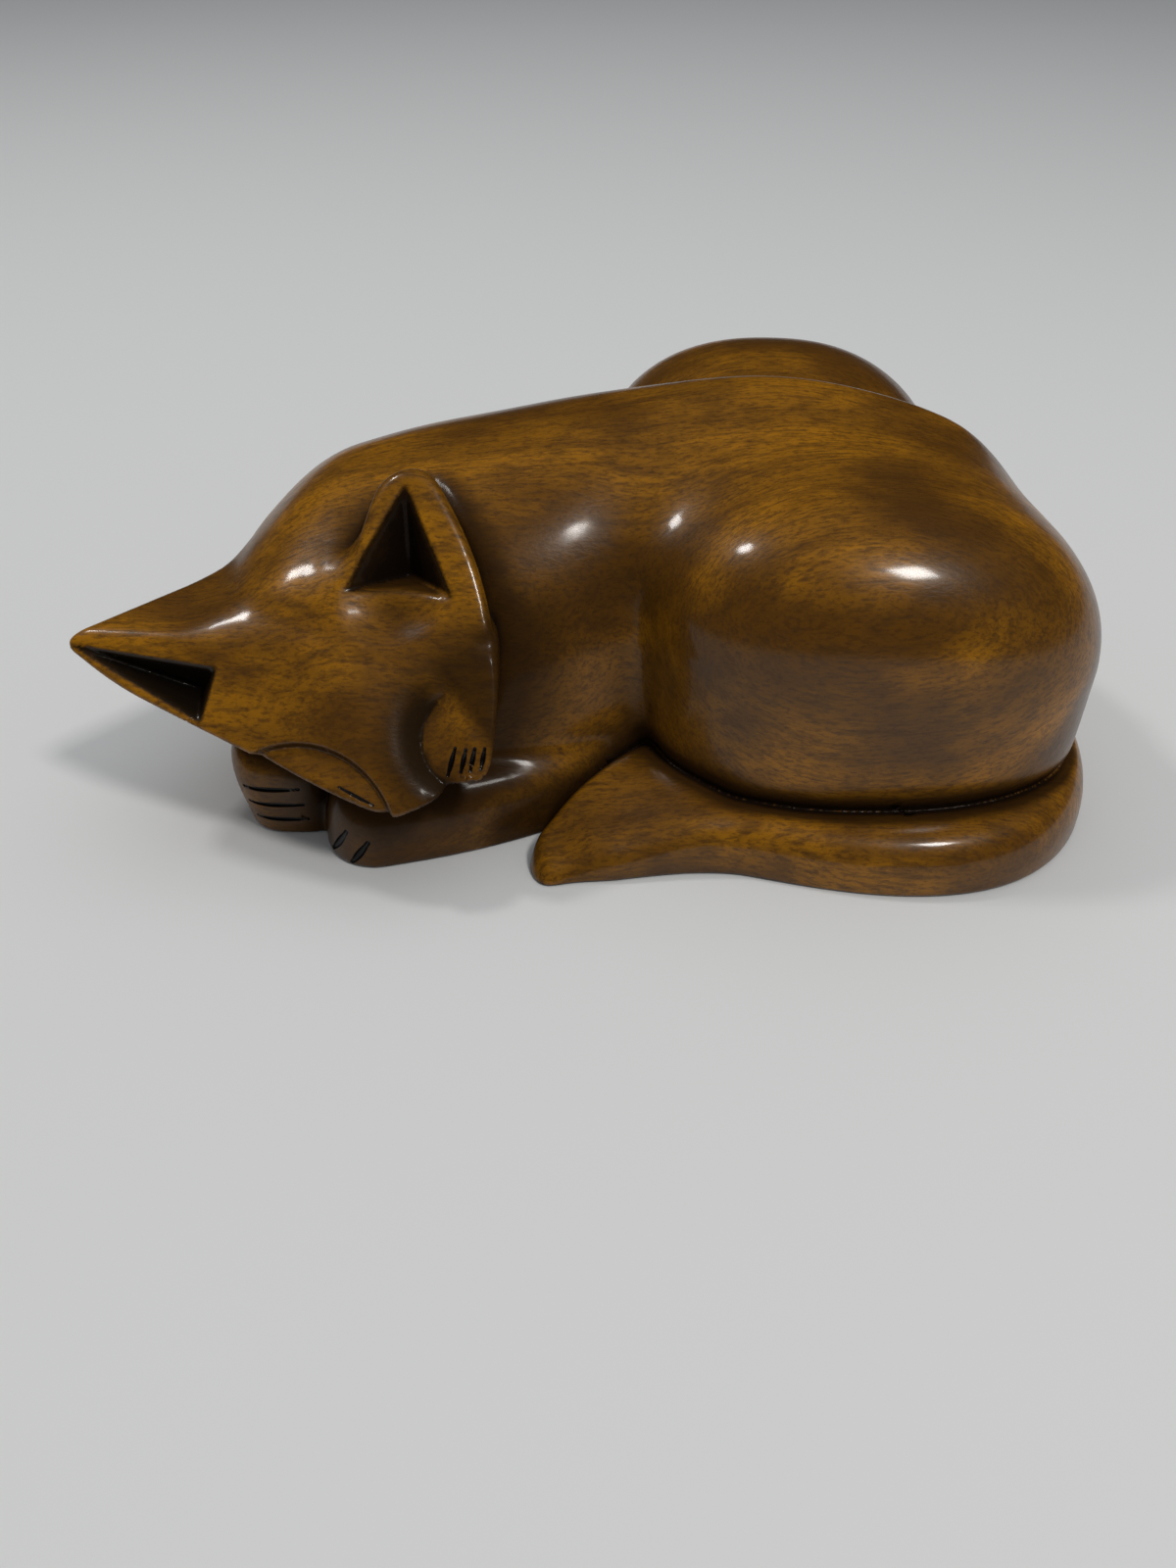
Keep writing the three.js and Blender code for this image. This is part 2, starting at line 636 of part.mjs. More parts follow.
// A three sided pyramid: an open triangle on the face, drawn a little in front of it, and its deepest point
function hollow(corners, deep, depth) {
  const bottom = onFace(deep[0], deep[1]).addScaledVector(FACE, -depth);
  const rise = 4 * share;
  const reach = (depth + rise) / depth;
  const mouth = corners.map(([s, t]) => bottom.clone().lerp(onFace(s, t), reach));
  const made = solid([bottom, ...mouth], [[0, 2, 1], [0, 3, 2], [0, 1, 3], [1, 2, 3]]);
  return made.volume() > 0 ? made : solid([bottom, ...mouth], [[0, 1, 2], [0, 2, 3], [0, 3, 1], [1, 3, 2]]);
}

// The shallow scoop that runs down out of the hollow of the right ear: a wide flat ball sunk a little
// into the face, its length along the lower side of the hollow
function earScoop() {
  const along = onFace(13.5, -10.2).sub(onFace(0, 0)).normalize();
  const ball = new THREE.SphereGeometry(1, 28, 16).scale(12.5 * share, 9.4 * share, 7.2 * share);
  const turn = new THREE.Matrix4().makeBasis(along, new THREE.Vector3().crossVectors(FACE, along), FACE);
  return solidOf(ball.applyMatrix4(turn.setPosition(onFace(15.6, 28, 5.2))));
}

// A knife cut: a thin wedge along a line, its edge sunk into the wood
function knife(from, to, out) {
  const along = to.clone().sub(from);
  const side = new THREE.Vector3().crossVectors(out, along).normalize();
  const half = KNIFE_WIDTH / 2;
  const lift = 1.2 * share;
  const spread = (half * (KNIFE_DEPTH + lift)) / KNIFE_DEPTH;
  const corner = (end, across, rise) =>
    end.clone().addScaledVector(side, across).addScaledVector(out, rise);
  const points = [from, to].flatMap((end) => [
    corner(end, 0, -KNIFE_DEPTH),
    corner(end, spread, lift),
    corner(end, -spread, lift),
  ]);
  const triangles = [[0, 1, 2], [3, 5, 4], [0, 3, 1], [1, 3, 4], [1, 4, 2], [2, 4, 5], [2, 5, 0], [0, 5, 3]];
  const made = solid(points, triangles);
  return made.volume() > 0 ? made : solid(points, triangles.map((t) => [t[0], t[2], t[1]]));
}

// Where a line from a point outside meets the surface of the cat
function surfaceFrom(start, direction) {
  const p = start.clone();
  for (let i = 0; i < 60; i++) p.addScaledVector(direction, cat(p.x, p.y, p.z) * 0.8);
  return p;
}

// Upper ends of the whiskers on the face
const WHISKERS = [
  [9.3, 2.5],
  [10.6, 1.2],
  [11.9, 0.4],
  [13.2, -0.6],
];

// Knife cuts, each between two places seen along a direction, in front of the surface
function knifeCuts() {
  const cuts = [];
  const inward = new THREE.Vector3(0, 1, 0);
  const outward = inward.clone().negate();
  const between = (x0, z0, x1, z1) => {
    const from = surfaceFrom(at(x0, -80, z0), inward);
    const to = surfaceFrom(at(x1, -80, z1), inward);
    cuts.push(knife(from, to, outward));
  };
  // toes of the far paw, three level cuts
  for (const z of [3.4, 6.9, 10.2]) between(-61.5, z, -51.5, z);
  // toes of the near paw, two cuts that run down its front
  between(-45.8, 1.2, -42.3, 7.2);
  between(-42, 0.6, -38.5, 5.9);
  // whiskers on the right cheek
  for (const [s, t] of WHISKERS) {
    const from = surfaceFrom(onFace(s, t, 6), FACE.clone().negate());
    const to = surfaceFrom(onFace(s - 3, t - 2.5, 6), FACE.clone().negate());
    cuts.push(knife(from, to, FACE));
  }
  return cuts;
}

function carve() {
  const low = at(-96, -72, -4.7);
  const high = at(100, 74, 72);
  const shell = simplify(surface(low, high, GRID_STEP), BODY_TRIANGLES);
  let body = solid(shell.points, shell.triangles);
  body = body.decompose().sort((a, b) => b.volume() - a.volume())[0];
  const room = new THREE.BoxGeometry(400 * share, 400 * share, 200 * share).translate(0, 0, 100 * share);
  body = body.intersect(solidOf(room));
  const hollows = [
    hollow([[28.8, 42.8], [9.8, 35], [23.8, 22.8]], [20.4, 32.6], EAR_DEPTH),
    hollow([[-32, 55.4], [-22.3, 32], [-15, 37.6]], [-20.2, 38.4], EAR_DEPTH_LEFT),
  ];
  for (const tool of [...hollows, earScoop(), ...knifeCuts()]) body = body.subtract(tool);
  return body;
}

// The finished body as a mesh, its origin in the middle under it
const carved = carve().getMesh();
const geometry = new THREE.BufferGeometry()
  .setAttribute("position", new THREE.BufferAttribute(new Float32Array(carved.vertProperties), 3))
  .setIndex(new THREE.BufferAttribute(carved.triVerts, 1));
geometry.computeBoundingBox();
const middle = geometry.boundingBox.getCenter(new THREE.Vector3());
geometry.translate(-middle.x, -middle.y, -geometry.boundingBox.min.z);
geometry.computeVertexNormals();

const wood = new THREE.MeshStandardMaterial({ color: 0x7a4d1c, roughness: 0.32, metalness: 0 });
const figure = new THREE.Mesh(geometry, wood);
figure.name = "cat";

const part = new THREE.Group();
part.add(figure);

export default part;
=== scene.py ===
"""A sleeping cat carved from one block of wood, stained and lacquered, on a pale floor."""

import bpy
import numpy as np
from mathutils import Matrix, Vector


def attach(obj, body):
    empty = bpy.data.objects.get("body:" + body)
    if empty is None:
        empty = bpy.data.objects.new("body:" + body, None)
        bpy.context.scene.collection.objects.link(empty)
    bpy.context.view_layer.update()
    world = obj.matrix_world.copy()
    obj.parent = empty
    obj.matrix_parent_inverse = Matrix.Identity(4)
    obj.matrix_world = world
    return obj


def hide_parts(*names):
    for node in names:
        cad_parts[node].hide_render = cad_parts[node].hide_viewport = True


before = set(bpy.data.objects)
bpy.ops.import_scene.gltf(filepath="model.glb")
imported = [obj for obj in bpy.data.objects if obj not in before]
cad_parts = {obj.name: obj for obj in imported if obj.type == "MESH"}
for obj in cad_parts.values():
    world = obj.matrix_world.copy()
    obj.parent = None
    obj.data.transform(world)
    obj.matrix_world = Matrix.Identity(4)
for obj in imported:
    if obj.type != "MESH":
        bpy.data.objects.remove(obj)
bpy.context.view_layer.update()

# The cat is drawn in millimetres, as a field of signed distances, in a frame whose origin lies on the
# ground under the trunk. X runs from the head to the rump, Y away from the camera and Z up. The finished
# mesh is moved so that the middle of its box is over the origin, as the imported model's is.
MM = 0.001
TINY = 1e-9


def join(a, b, k):
    """Soft union of two signed distances, rounded over the width k."""
    h = np.maximum(k - np.abs(a - b), 0) / k
    return np.minimum(a, b) - h * h * k / 4


def cut(a, b, k):
    """Soft intersection, rounded over the width k."""
    return -join(-a, -b, k)


CREASE_DEPTH = 1.1
CREASE_WIDTH = 1.3


def crease(a, b, k, depth):
    """A soft union with a narrow groove sunk along the line where the two surfaces meet."""
    return join(a, b, k) + depth * np.exp(-(((a - b) / CREASE_WIDTH) ** 2))


def ramp(start, end, x):
    """A smooth step from 0 at start to 1 at end."""
    t = np.clip((x - start) / (end - start), 0, 1)
    return t * t * (3 - 2 * t)


def spline(knots, rows):
    """A natural cubic spline through rows of values, as a function of the place along the knots."""
    knots = np.asarray(knots, float)
    rows = np.asarray(rows, float)
    h = np.diff(knots)
    n = len(knots)
    matrix = np.eye(n)
    right = np.zeros_like(rows)
    for i in range(1, n - 1):
        matrix[i, i - 1 : i + 2] = h[i - 1], 2 * (h[i - 1] + h[i]), h[i]
        right[i] = 6 * ((rows[i + 1] - rows[i]) / h[i] - (rows[i] - rows[i - 1]) / h[i - 1])
    bends = np.linalg.solve(matrix, right)

    def at(x):
        x = np.clip(x, knots[0], knots[-1])
        i = np.clip(np.searchsorted(knots, x, side="right") - 1, 0, n - 2)
        step = h[i][..., None]
        b = (x - knots[i])[..., None] / step
        a = 1 - b
        value = a * rows[i] + b * rows[i + 1]
        return value + ((a**3 - a) * bends[i] + (b**3 - b) * bends[i + 1]) * step**2 / 6

    return at


def plane(x, y, z, normal, through):
    """Distance in front of the plane with that normal through that point."""
    n = np.asarray(normal, float)
    n = n / np.linalg.norm(n)
    return n[0] * (x - through[0]) + n[1] * (y - through[1]) + n[2] * (z - through[2])


def pebble(x, y, z, centre, half, power):
    """A superellipsoid, as an approximate signed distance."""
    q = [np.abs(v - c) / a for v, c, a in zip((x, y, z), centre, half)]
    r = (q[0] ** power + q[1] ** power + q[2] ** power) ** (1 / power) + TINY
    slope = sum(((v / r) ** (power - 1) / a) ** 2 for v, a in zip(q, half)) ** 0.5 + TINY
    return (r - 1) / slope


def arch(u, v, half, height, power):
    """A superellipse in a section, as an approximate signed distance: u and v are shares of its sizes."""
    r = (u**power + v**power) ** (1 / power) + TINY
    slope = np.hypot((u / r) ** (power - 1) / half, (v / r) ** (power - 1) / height) + TINY
    return (r - 1) / slope


def only(near, far, form, x, y, z):
    """The form's distance at the points marked near, and the value far elsewhere."""
    out = np.full(np.shape(x), far)
    out[near] = form(x[near], y[near], z[near])
    return out


# The trunk, station by station: place along X, place of the spine along Y, its height, the half widths
# to the near and the far side, and the roundness of both sides (2 is an ellipse, less is a roof)
TRUNK = np.array(
    [
        [-69, -9, 46.0, 33.0, 33, 2.25, 2.10],
        [-60, -7, 50.2, 35.0, 36, 2.25, 2.05],
        [-50, -6, 52.6, 37.0, 39, 2.25, 1.95],
        [-42, -4, 54.6, 40.0, 41, 2.25, 1.85],
        [-33, -1, 56.3, 43.5, 42, 2.30, 1.80],
        [-19, 2, 58.4, 45.5, 43, 2.32, 1.75],
        [-5, 4, 60.8, 44.0, 44, 2.25, 1.70],
        [12, 5, 63.8, 38.0, 42, 2.00, 1.60],
        [32, 6, 65.7, 36.0, 42, 1.75, 1.50],
        [48, 5, 64.2, 37.0, 42, 1.60, 1.50],
        [64, 3, 60.0, 38.0, 40, 1.52, 1.50],
        [76, 0, 55.5, 36.0, 38, 1.55, 1.55],
        [84, -2, 52.5, 35.0, 37, 1.65, 1.65],
        [93, -4, 49.0, 34.0, 36, 1.80, 1.80],
    ]
)
TRUNK_SECTION = spline(TRUNK[:, 0], TRUNK[:, 1:])
# The sides stand upright below the foot's height. Both ends are rounded over a length of their own
TRUNK_FOOT = 8.0
TRUNK_ENDS = (-69.5, 92.6)
TRUNK_ROUNDED = (25.0, 27.0)
TRUNK_END_POWER = 2.2
ALMOST_ONE = 0.9999
DEEPEST = 30


def trunk(x, y, z):
    spine, top, near, far, round_near, round_far = np.moveaxis(TRUNK_SECTION(x), -1, 0)
    first = np.clip((TRUNK_ENDS[0] + TRUNK_ROUNDED[0] - x) / TRUNK_ROUNDED[0], 0, ALMOST_ONE)
    last = np.clip((x - TRUNK_ENDS[1] + TRUNK_ROUNDED[1]) / TRUNK_ROUNDED[1], 0, ALMOST_ONE)
    shrink = (1 - np.maximum(first, last) ** TRUNK_END_POWER) ** (1 / TRUNK_END_POWER)
    side = y < spine
    half = np.where(side, near, far) * shrink
    power = np.where(side, round_near, round_far)
    height = (top - TRUNK_FOOT) * shrink
    u = np.abs(y - spine) / half
    v = np.maximum(z - TRUNK_FOOT * shrink, 0) / height
    d = arch(u, v, half, height, power)
    past = np.maximum(np.maximum(TRUNK_ENDS[0] - x, x - TRUNK_ENDS[1]), 0)
    return np.where(past > 0, np.hypot(np.maximum(d, 0), past), np.minimum(d, DEEPEST))


# The thighs: centre, half sizes and roundness of each. Below the hip they are drawn out to the ground,
# and behind RUMP they fall off by a share of the way
NEAR_THIGH = ((50.6, -24, 30), (41.3, 28.5, 30.5), 2.4)
FAR_THIGH = ((38.3, 35, 30), (37.7, 29, 31.3), 2.35)
HIP = 30.0
HIP_STRETCH = 0.88
RUMP = 50
RUMP_SOFTNESS = 12
RUMP_FALL = 0.1


def thigh(x, y, z, centre, half, power):
    below = np.maximum(HIP - z, 0)
    behind = 0.5 * (x - RUMP + np.hypot(x - RUMP, RUMP_SOFTNESS))
    height = z + HIP_STRETCH * below + RUMP_FALL * behind * ramp(0, HIP, z)
    return pebble(x, y, height, centre, half, power)


# The flat of the face: its lowest point between nose and chin, its normal, and the two directions in it,
# up from the nose to the crown and across to the right ear
NOSE = np.array([-28, -60.8, 20])
FACE = np.array([-0.044, -0.747, 0.664])
FACE = FACE / np.linalg.norm(FACE)
UP = np.array([-0.612, 0.545, 0.573])
UP = UP - FACE * (UP @ FACE)
UP = UP / np.linalg.norm(UP)
ACROSS = np.cross(UP, FACE)


def on_face(s, t, w=0.0):
    """The point at s across and t up the face, w in front of it."""
    return NOSE + ACROSS * s + UP * t + FACE * w


def face_coordinates(x, y, z):
    return [plane(x, y, z, axis, NOSE) for axis in (ACROSS, UP, FACE)]


def head_side(x, y, z, start, end, lean):
    """The side of the head along a line on the face, drawn counter clockwise, leaning in behind it."""
    along = np.subtract(end, start) / np.linalg.norm(np.subtract(end, start))
    normal = -ACROSS * along[1] + UP * along[0] - FACE * lean
    return plane(x, y, z, normal, on_face(*start))


# The underside of the head runs from the chin to the left ear
JAW = on_face(-8.6, 1.4)
JAW_END = on_face(-32.4, 47.6)
JAW_NORMAL = np.cross([0.05, 1, -0.22], JAW_END - JAW)
JAW_NORMAL = -JAW_NORMAL * np.sign(JAW_NORMAL[2])

# Sides of the head, each by both ends of its line on the face and its lean
CHEEK_HIGH = ((34.2, 42), (31.2, 22), 0.12)
CHEEK_LOW = ((31.2, 22), (16.0, -2.6), 0.25)
CHEEK_CORNER = ((15.8, -1), (11, -5.4), 0.5)
EAR_TOP = ((7.5, 35.6), (27.3, 48.2), 0.2)
EAR_TIP = ((27, 48.4), (34, 47.6), 0.2)
EAR_FOOT = ((34, 6), (2, 30), 0)
# The left side from chin to ear and the chin, with the softness of their edges
OUTLINE = [
    ((-8.4, 1.4), (-21.6, 25.9), 0.1, 1.5),
    ((-21.6, 25.9), (-29.9, 43.9), 0.1, 1.5),
    ((-29.7, 43.0), (-32.8, 54.5), 0.1, 1),
    ((12, -6), (-8, -0.6), 0.9, 2),
]
# Flats by normal and point: above the left ear, behind it, and behind the right ear
LEFT_EAR_TOP = ((0.0, -0.03, 1), (-67, -42.6, 38.3))
LEFT_EAR_BACK = ((-0.72, 0.69, 0.15), (-73, -25.9, 38))
RIGHT_EAR_BACK = ((-0.1, 0.62, 0.78), on_face(31, 46, -3))
# The round back of the head
DOME = ((-37, -30, 25.4), (24.5, 24, 19.6), 2.3)

# The eyes are crescents along circles on the face: centre and radius of each
LEFT_EYE = (-22.0, 5.5, 17.0)
RIGHT_EYE = (12.6, 2.0, 8.9)
LEFT_EYE_DEPTH = 1.6
RIGHT_EYE_DEPTH = 2.4
BRIDGE_HEIGHT = 1.5
BRIDGE_WIDTH = 9


def inside_eye(s, t, eye):
    """Distance inside an eye's circle."""
    return eye[2] - np.hypot(s - eye[0], t - eye[1])


def face_relief(s, t):
    """Height of the face over its flat: the bridge of the nose, and the leaf shaped cuts of both eyes."""
    bridge = BRIDGE_HEIGHT * np.exp(-(((s + 1) / BRIDGE_WIDTH) ** 2))
    bridge = bridge * ramp(-6, 8, t) * (1 - ramp(20, 40, t))
    q = inside_eye(s, t, LEFT_EYE)
    left = ramp(-0.5, 0.5, q) * (1 - np.clip(q / 7, 0, 1)) * ramp(-3, 1, t)
    q = inside_eye(s, t, RIGHT_EYE)
    valley = np.clip(1 + q / 6, 0, 1) ** 2 * (1 - np.clip(q / 9, 0, 1))
    right = valley * ramp(-5, -1, t) * (1 - ramp(9, 17, s))
    return bridge - LEFT_EYE_DEPTH * left - RIGHT_EYE_DEPTH * right


def cheek(x, y, z):
    """The right side of the head, under the ear."""
    d = cut(head_side(x, y, z, *CHEEK_HIGH), head_side(x, y, z, *CHEEK_LOW), 5)
    return cut(d, head_side(x, y, z, *CHEEK_CORNER), 3)


def head(x, y, z):
    s, t, w = face_coordinates(x, y, z)
    front = w - face_relief(s, t)
    below = plane(x, y, z, JAW_NORMAL, JAW)
    right = cheek(x, y, z)
    d = below
    for start, end, lean, softness in OUTLINE:
        d = cut(d, head_side(x, y, z, start, end, lean), softness)
    d = cut(d, right, 2)
    d = cut(d, plane(x, y, z, *LEFT_EAR_TOP), 1.5)
    d = cut(d, plane(x, y, z, *LEFT_EAR_BACK), 2)
    # The dome joins more softly at the crown, and the right ear at its foot
    dome = cut(cut(pebble(x, y, z, *DOME), right, 2), below, 3)
    d = join(d, dome, 6 + 8 * ramp(-44, -54, x) * ramp(30, 40, z))
    ear = cut(head_side(x, y, z, *EAR_TOP), right, 2)
    ear = cut(ear, head_side(x, y, z, *EAR_TIP), 2.5)
    ear = cut(ear, plane(x, y, z, *RIGHT_EAR_BACK), 4)
    ear = cut(ear, head_side(x, y, z, *EAR_FOOT), 2)
    d = join(d, ear, 2 + 2.5 * ramp(26, 14, s))
    # The rim of the face is crisp, a little rounder towards the right ear and soft at the brow
    brow = ramp(33, 42, z) * ramp(-72, -56, x) * ramp(-32, -46, x)
    return cut(front, d, 1.2 + 1.2 * ramp(20, 27, s) + 5 * brow)


# The hollows of the ears: the corners of each on the face, its deepest place, its depth and softness
RIGHT_EAR = ([(28.8, 42.8), (9.8, 35.0), (23.8, 22.8)], (20.4, 32.6), 8.8, 1.0)
LEFT_EAR = ([(-32.0, 55.4), (-22.3, 32.0), (-15.0, 37.6)], (-20.2, 38.4), 6.2, 0.7)
# The scoop over the right ear's hollow: its middle on the face, its height, its run and its half sizes
SCOOP_PLACE = (15.6, 28.0)
SCOOP_HEIGHT = 5.2
SCOOP_RUN = np.array([13.5, -10.2])
SCOOP_RUN = SCOOP_RUN / np.hypot(*SCOOP_RUN)
SCOOP_HALF = (12.5, 9.4, 7.2)


def ear_hollow(x, y, z, corners, deep, depth, softness):
    """A three sided pit: planes through the deepest point and the sides of a triangle on the face."""
    bottom = on_face(*deep, -depth)
    mouth = [on_face(*c) for c in corners]
    middle = sum(mouth) / 3
    d = None
    for a, b in zip(mouth, mouth[1:] + mouth[:1]):
        normal = np.cross(a - bottom, b - bottom)
        normal = -normal * np.sign(normal @ (middle - bottom))
        side = plane(x, y, z, normal, bottom)
        d = side if d is None else cut(d, side, softness)
    return d


def scoop(x, y, z):
    """A pebble turned to its run on the face, to be taken away."""
    s, t, w = face_coordinates(x, y, z)
    u = (s - SCOOP_PLACE[0]) * SCOOP_RUN[0] + (t - SCOOP_PLACE[1]) * SCOOP_RUN[1]
    v = -(s - SCOOP_PLACE[0]) * SCOOP_RUN[1] + (t - SCOOP_PLACE[1]) * SCOOP_RUN[0]
    return pebble(u, v, w, (0, 0, SCOOP_HEIGHT), SCOOP_HALF, 2)


BAR_PLACES = 49
SEARCH_ROUNDS = 14
GOLDEN = 0.382


def bar(x, y, z, rows, power):
    """A bar of rounded section lying on the ground along a curve of places, half widths and heights."""
    rows = np.asarray(rows, float)
    knots = np.r_[0, np.cumsum(np.hypot(*np.diff(rows[:, :2], axis=0).T))]
    curve = spline(knots, rows)
    places = np.linspace(0, knots[-1], BAR_PLACES)
    step = places[1]
    x, y = np.broadcast_arrays(x, y)

    def square(row):
        return (x - row[..., 0]) ** 2 + (y - row[..., 1]) ** 2

    best = np.full(x.shape, np.inf)
    t = np.zeros(x.shape)
    for place, row in zip(places, curve(places)):
        d = square(row)
        t = np.where(d < best, place, t)
        best = np.minimum(best, d)
    low = np.clip(t - step, 0, knots[-1])
    high = np.clip(t + step, 0, knots[-1])
    for _ in range(SEARCH_ROUNDS):
        a = low + GOLDEN * (high - low)
        b = high - GOLDEN * (high - low)
        nearer = square(curve(a)) < square(curve(b))
        high = np.where(nearer, b, high)
        low = np.where(nearer, low, a)
    cx, cy, half, height = np.moveaxis(curve((low + high) / 2), -1, 0)
    u = np.hypot(x - cx, y - cy) / half
    v = np.maximum(z, 0) / height
    return arch(u, v, half, height, power)


# Tail and fore leg, place by place: X, Y, half width and height
TAIL = [
    [66, 38, 9, 12],
    [79, 22, 9, 13],
    [86.3, 0, 8.8, 13],
    [87, -20, 9, 13],
    [83.5, -38, 9.5, 12],
    [73, -50, 9.5, 11.5],
    [58, -54, 9.2, 11],
    [38, -52, 8.7, 10.5],
    [20, -48.5, 8.7, 9.8],
    [5, -50, 8, 6],
]
FORE_LEG = [[4, -28, 11, 14], [-12, -38.5, 10, 14], [-26, -45, 9.5, 14], [-38, -48.5, 9.5, 14.5]]
# The tip of the tail is a wedge: three points of its top, its front by normal and point, its other flats
# by normal, point and softness, and its height
WEDGE_TOP = np.array([[10, -57.5, 5], [12, -40, 14], [-4, -58.5, 4]])
WEDGE_FRONT = ((0.23, -0.97, 0.1), (5, -59.5, 0))
WEDGE_FLATS = [
    ((-0.77, 0.63, 0.1), (-3, -46.5, 4), 2),
    ((-0.95, -0.3, 0.2), (-10, -58, 1), 3),
    ((0.95, -0.1, 0.3), (24, -46, 6), 6),
]
WEDGE_HEIGHT = 12.5
# The neck behind the face, and the paw under the chin, which leans by a share of the height over its level
NECK = ((-44, -14, 18), (24, 24, 27), 2.3)
NECK_BEHIND_FACE = 4
PAW = ((-56, -36.5, 4), (9.7, 12.5, 15), 3)
PAW_LEAN = 0.22
PAW_LEVEL = 12


def fore_leg(x, y, z):
    return bar(x, y, z, FORE_LEG, 2.6)


def tail(x, y, z):
    corner = WEDGE_TOP[0]
    top = np.cross(WEDGE_TOP[1] - corner, WEDGE_TOP[2] - corner)
    d = cut(plane(x, y, z, *WEDGE_FRONT), plane(x, y, z, top, corner), 2.5)
    for normal, through, softness in WEDGE_FLATS:
        d = cut(d, plane(x, y, z, normal, through), softness)
    d = cut(d, z - WEDGE_HEIGHT, 4)
    return join(bar(x, y, z, TAIL, 2.8), d, 6)


def cat(x, y, z):
    d = trunk(x, y, z)
    # The near thigh flows into the back more softly the higher it is, though less so at the rump
    top = ramp(34, 50, z)
    haunch = 4 + 4 * ramp(14, 36, z) + 8 * top * (1 - 0.5 * ramp(60, 80, x))
    d = join(d, thigh(x, y, z, *NEAR_THIGH), haunch)
    d = join(d, thigh(x, y, z, *FAR_THIGH), 5)
    neck = cut(pebble(x, y, z, *NECK), plane(x, y, z, FACE, NOSE) + NECK_BEHIND_FACE, 6)
    neck = cut(neck, plane(x, y, z, JAW_NORMAL, JAW), 3)
    d = join(d, neck, 8)
    # A groove parts the head from the trunk and fades out behind the crown. Head, leg and tail are worked
    # out only where they can matter
    crown = ramp(34, 44, z) * ramp(-34, -46, x)
    d = crease(d, only(x < 12, 25.0, head, x, y, z), 1.5 + 9 * crown, CREASE_DEPTH * (1 - crown))
    d = join(d, only((x < 20) & (z < 26), 10.0, fore_leg, x, y, z), 3)
    d = join(d, pebble(x + PAW_LEAN * (z - PAW_LEVEL), y, z, *PAW), 2)
    d = crease(d, only((x > -20) & (z < 26), 10.0, tail, x, y, z), 1.5, CREASE_DEPTH)
    right = join(ear_hollow(x, y, z, *RIGHT_EAR), scoop(x, y, z), 1.5)
    left = ear_hollow(x, y, z, *LEFT_EAR)
    return cut(cut(d, -right, 1.0), -left, 1.0)


# Short cuts of the knife: both ends of each, as places on the face or as places along X and Z of a paw,
# and the half width
WHISKERS = [
    ((9.3, 2.5), (5.5, -0.3), 0.38),
    ((10.6, 1.2), (7.6, -1.2), 0.38),
    ((11.9, 0.4), (9.0, -2.0), 0.38),
    ((13.2, -0.6), (10.6, -2.9), 0.38),
    ((-10.0, 8.9), (-7.3, 3.1), 0.24),
    ((-10.9, 7.2), (-8.9, 3.2), 0.24),
]
PAW_CUTS = [
    ((-61.8, 10.2), (-51.8, 10.2), 0.42),
    ((-61.3, 6.9), (-51.3, 6.9), 0.42),
    ((-60.3, 3.6), (-50.8, 3.6), 0.42),
    ((-45.6, 1.6), (-42.3, 7.2), 0.65),
    ((-41.8, 0.9), (-38.4, 5.9), 0.65),
]
# Each cut follows the surface through this many points, which start from outside the cat
KNIFE_POINTS = 6
BEFORE_FACE = 6
BEFORE_PAWS = -78
KNIFE_REACH = 14
NO_KNIFE = 50.0


def gradient(field, p, step=0.12):
    out = np.empty_like(p)
    for axis in range(3):
        ahead, behind = p.copy(), p.copy()
        ahead[:, axis] += step
        behind[:, axis] -= step
        out[:, axis] = field(*ahead.T) - field(*behind.T)
    return out / (2 * step)


def unit(v):
    return v / (np.linalg.norm(v, axis=-1, keepdims=True) + 1e-12)


WALK_STEPS = 50
WALK_SHARE = 0.8


def onto_surface(start, direction):
    """Walks from the start to the cat's surface, with steps a little short of the distance."""
    p = np.array(start, float)[None]
    for _ in range(WALK_STEPS):
        p = p + WALK_SHARE * cat(*p.T) * np.asarray(direction, float)
    return p[0]


def knife_lines():
    """The points and half width of every knife cut."""
    steps = np.linspace(0, 1, KNIFE_POINTS)[:, None]
    lines = []
    for a, b, wide in WHISKERS:
        places = np.array(a) * (1 - steps) + np.array(b) * steps
        lines.append([[onto_surface(on_face(*c, BEFORE_FACE), -FACE) for c in places], wide])
    for a, b, wide in PAW_CUTS:
        places = np.array(a) * (1 - steps) + np.array(b) * steps
        lines.append([[onto_surface((c[0], BEFORE_PAWS, c[1]), (0, 1, 0)) for c in places], wide])
    return lines


KNIFE = knife_lines()


def knife_distance(x, y, z):
    """Distance past the wall of the nearest knife cut, less than zero inside it."""
    p = np.stack([x, y, z], -1)
    best = np.full(x.shape, NO_KNIFE)
    for line, wide in KNIFE:
        close = np.linalg.norm(p - line[0], axis=-1) < KNIFE_REACH
        near = p[close]
        nearest = np.full(len(near), NO_KNIFE)
        for step, (a, b) in enumerate(zip(line, line[1:])):
            along = b - a
            t = np.clip((near - a) @ along / (along @ along), 0, 1)
            far = np.linalg.norm(near - a - t[..., None] * along, axis=-1)
            # The cut is widest in the middle, and narrower but not pointed at both ends
            share = np.clip((step + t) / (len(line) - 1), 0.12, 0.88)
            nearest = np.minimum(nearest, far - wide * (0.35 + 0.65 * np.sin(np.pi * share)))
        best[close] = np.minimum(best[close], nearest)
    return best


def carved(x, y, z):
    """The cat with its knife cuts, standing on the ground."""
    d = cut(cat(x, y, z), -z, 1.0)
    return np.maximum(d, -knife_distance(x, y, z))


# The mesh starts on a grid: its pitch, the fine cells to a coarse one, and its box
PITCH = 1.45
COARSE = 4
BOX_LOW = (-97, -73, -3.3)
BOX_HIGH = (101, 75, 73)
